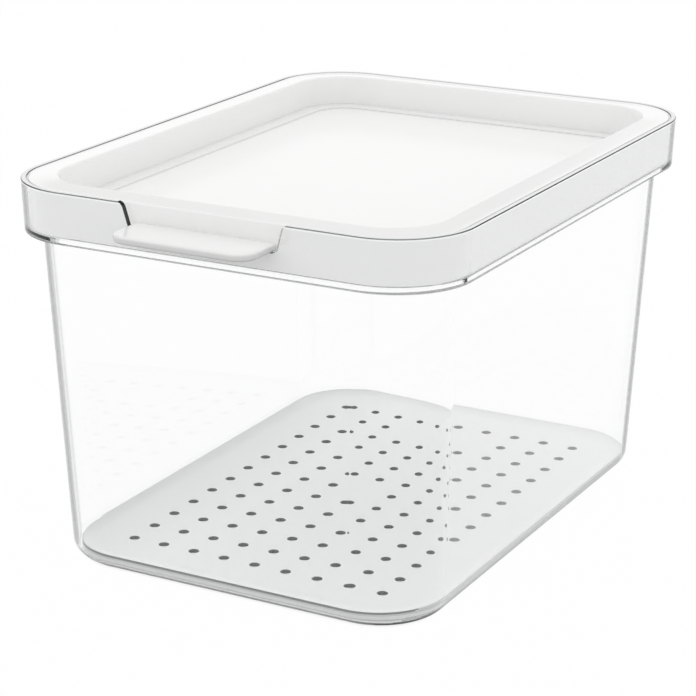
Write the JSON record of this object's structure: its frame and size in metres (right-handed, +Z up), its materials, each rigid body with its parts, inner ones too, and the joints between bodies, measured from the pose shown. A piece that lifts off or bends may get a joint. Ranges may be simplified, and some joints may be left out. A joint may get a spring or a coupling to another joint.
{
  "type": "fridge storage bin",
  "caption": "Clear drafted storage bin with a wider notched collar, a white recessed lift-off lid with a front tab, and a perforated drain tray on short feet.",
  "frame": {"origin": "middle of the tub's flat base, on the surface that the bin stands on", "axes": "+Z up, from the base to the lid; -Y towards the notched short side where the lid's tab comes out; +X to the bin's right seen from that side"},
  "size_m": [0.2156, 0.3106, 0.1778],
  "materials": {
    "clear_plastic": "clear injection-moulded styrene or PET, gloss inside and out",
    "white_plastic": "opaque white polypropylene with a soft satin gloss",
    "tray_plastic": "off-white polypropylene with a satin gloss"
  },
  "bodies": {
    "tub": {"tub": "clear_plastic"},
    "lid": {"lid": "white_plastic"},
    "drain_tray": {"drain_tray": "tray_plastic"}
  },
  "joints": [
    {"name": "lid_lift", "type": "slide", "parent": "tub", "child": "lid", "axis": [0, 0, 1], "range_m": [0, 0.12]},
    {"name": "tray_lift", "type": "slide", "parent": "tub", "child": "drain_tray", "axis": [0, 0, 1], "range_m": [0, 0.15]}
  ]
}
